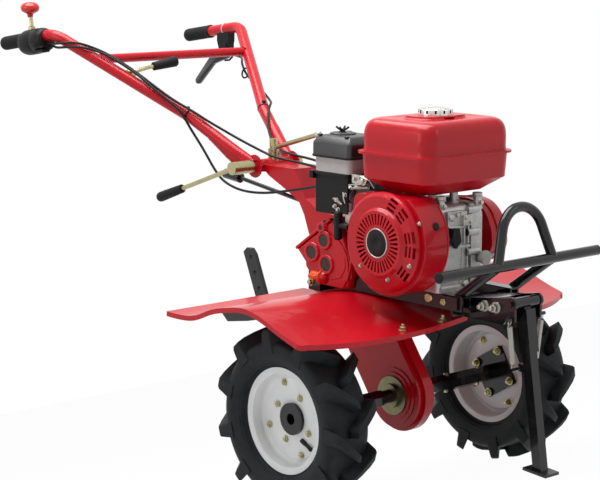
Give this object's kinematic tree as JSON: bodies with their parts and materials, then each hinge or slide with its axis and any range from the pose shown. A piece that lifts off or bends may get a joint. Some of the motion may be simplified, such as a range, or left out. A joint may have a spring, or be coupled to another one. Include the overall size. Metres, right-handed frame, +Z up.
{
  "type": "two-wheel garden tiller",
  "caption": "Walking garden tiller: single-cylinder engine over a gearbox and leaning chain case, two lugged wheels, raked tubular handlebars, wide mudguards and a front bumper with a prop stand.",
  "frame": {"origin": "middle of the bounding box on the ground, under the machine as it stands parked on its two wheels and its front stand", "axes": "+X forward, towards the bumper; +Y to the left of someone walking behind it; +Z up. Parked, the machine leans 15.4 degrees nose down about the axle."},
  "size_m": [1.3311, 0.813, 1.2783],
  "materials": {
    "tyre_rubber": "moulded tyre rubber, matt",
    "grip_rubber": "matt moulded rubber",
    "red_paint": "gloss red enamel",
    "white_paint": "gloss white enamel",
    "black_paint": "satin black enamel",
    "zinc_steel": "zinc plated, slightly yellow",
    "cast_alloy": "as cast, bead blasted",
    "black_plastic": "fine textured moulding",
    "grey_plastic": "pale grey moulding",
    "orange_plastic": "orange moulding"
  },
  "bodies": {
    "chassis": {"air_filter_body": "black_plastic", "air_filter_case": "grey_plastic", "air_filter_lid": "black_plastic", "bearing_flanges": "zinc_steel", "belt_cover": "red_paint", "bumper": "black_paint", "carburettor": "cast_alloy", "chain_case": "red_paint", "clamp_levers": "zinc_steel", "clutch_cable": "black_plastic", "cylinder_head": "cast_alloy", "depth_stake": "black_paint", "engine_block": "cast_alloy", "engine_rails": "black_paint", "fan_shroud": "red_paint", "fender_left": "red_paint", "fender_right": "red_paint", "front_bracket": "black_paint", "fuel_cap": "cast_alloy", "fuel_tank": "red_paint", "gear_lever": "black_paint", "gearbox_case": "red_paint", "gearbox_plugs": "black_paint", "handlebar_column": "red_paint", "head_post": "zinc_steel", "hitch_bracket": "black_paint", "lever_grips": "grip_rubber", "muffler": "black_paint", "oil_filler_plug": "orange_plastic", "stand_springs": "zinc_steel", "starter_cover": "red_paint", "starter_grip": "black_plastic", "stop_cable": "black_plastic", "throttle_cable": "black_plastic"},
    "wheels": {"tyre_left": "tyre_rubber", "tyre_right": "tyre_rubber", "rim_left": "white_paint", "rim_right": "white_paint", "hub_left": "black_paint", "hub_right": "black_paint", "axle_shaft": "zinc_steel"},
    "handlebar": {"handle_tube_left": "red_paint", "handle_tube_right": "red_paint", "crossbar": "red_paint", "grip_left": "grip_rubber", "grip_right": "grip_rubber", "throttle_box": "black_plastic", "clutch_bracket": "black_paint", "clutch_lever": "black_paint", "lock_lever": "black_plastic"},
    "stand": {"stand_leg": "black_paint"}
  },
  "joints": [
    {"name": "wheel_spin", "type": "hinge", "parent": "chassis", "child": "wheels", "pos_m": [0.22157, 0, 0.203], "axis": [0, 1, 0], "continuous": true},
    {"name": "handlebar_tilt", "type": "hinge", "parent": "chassis", "child": "handlebar", "pos_m": [-0.06367, 0, 0.76883], "axis": [0, 1, 0], "range_deg": [-12, 15], "deforming": ["throttle_cable", "stop_cable", "clutch_cable"]},
    {"name": "stand_fold", "type": "hinge", "parent": "chassis", "child": "stand", "pos_m": [0.63279, 0, 0.35962], "axis": [0, 1, 0], "range_deg": [0, 55], "deforming": ["stand_springs"]}
  ]
}
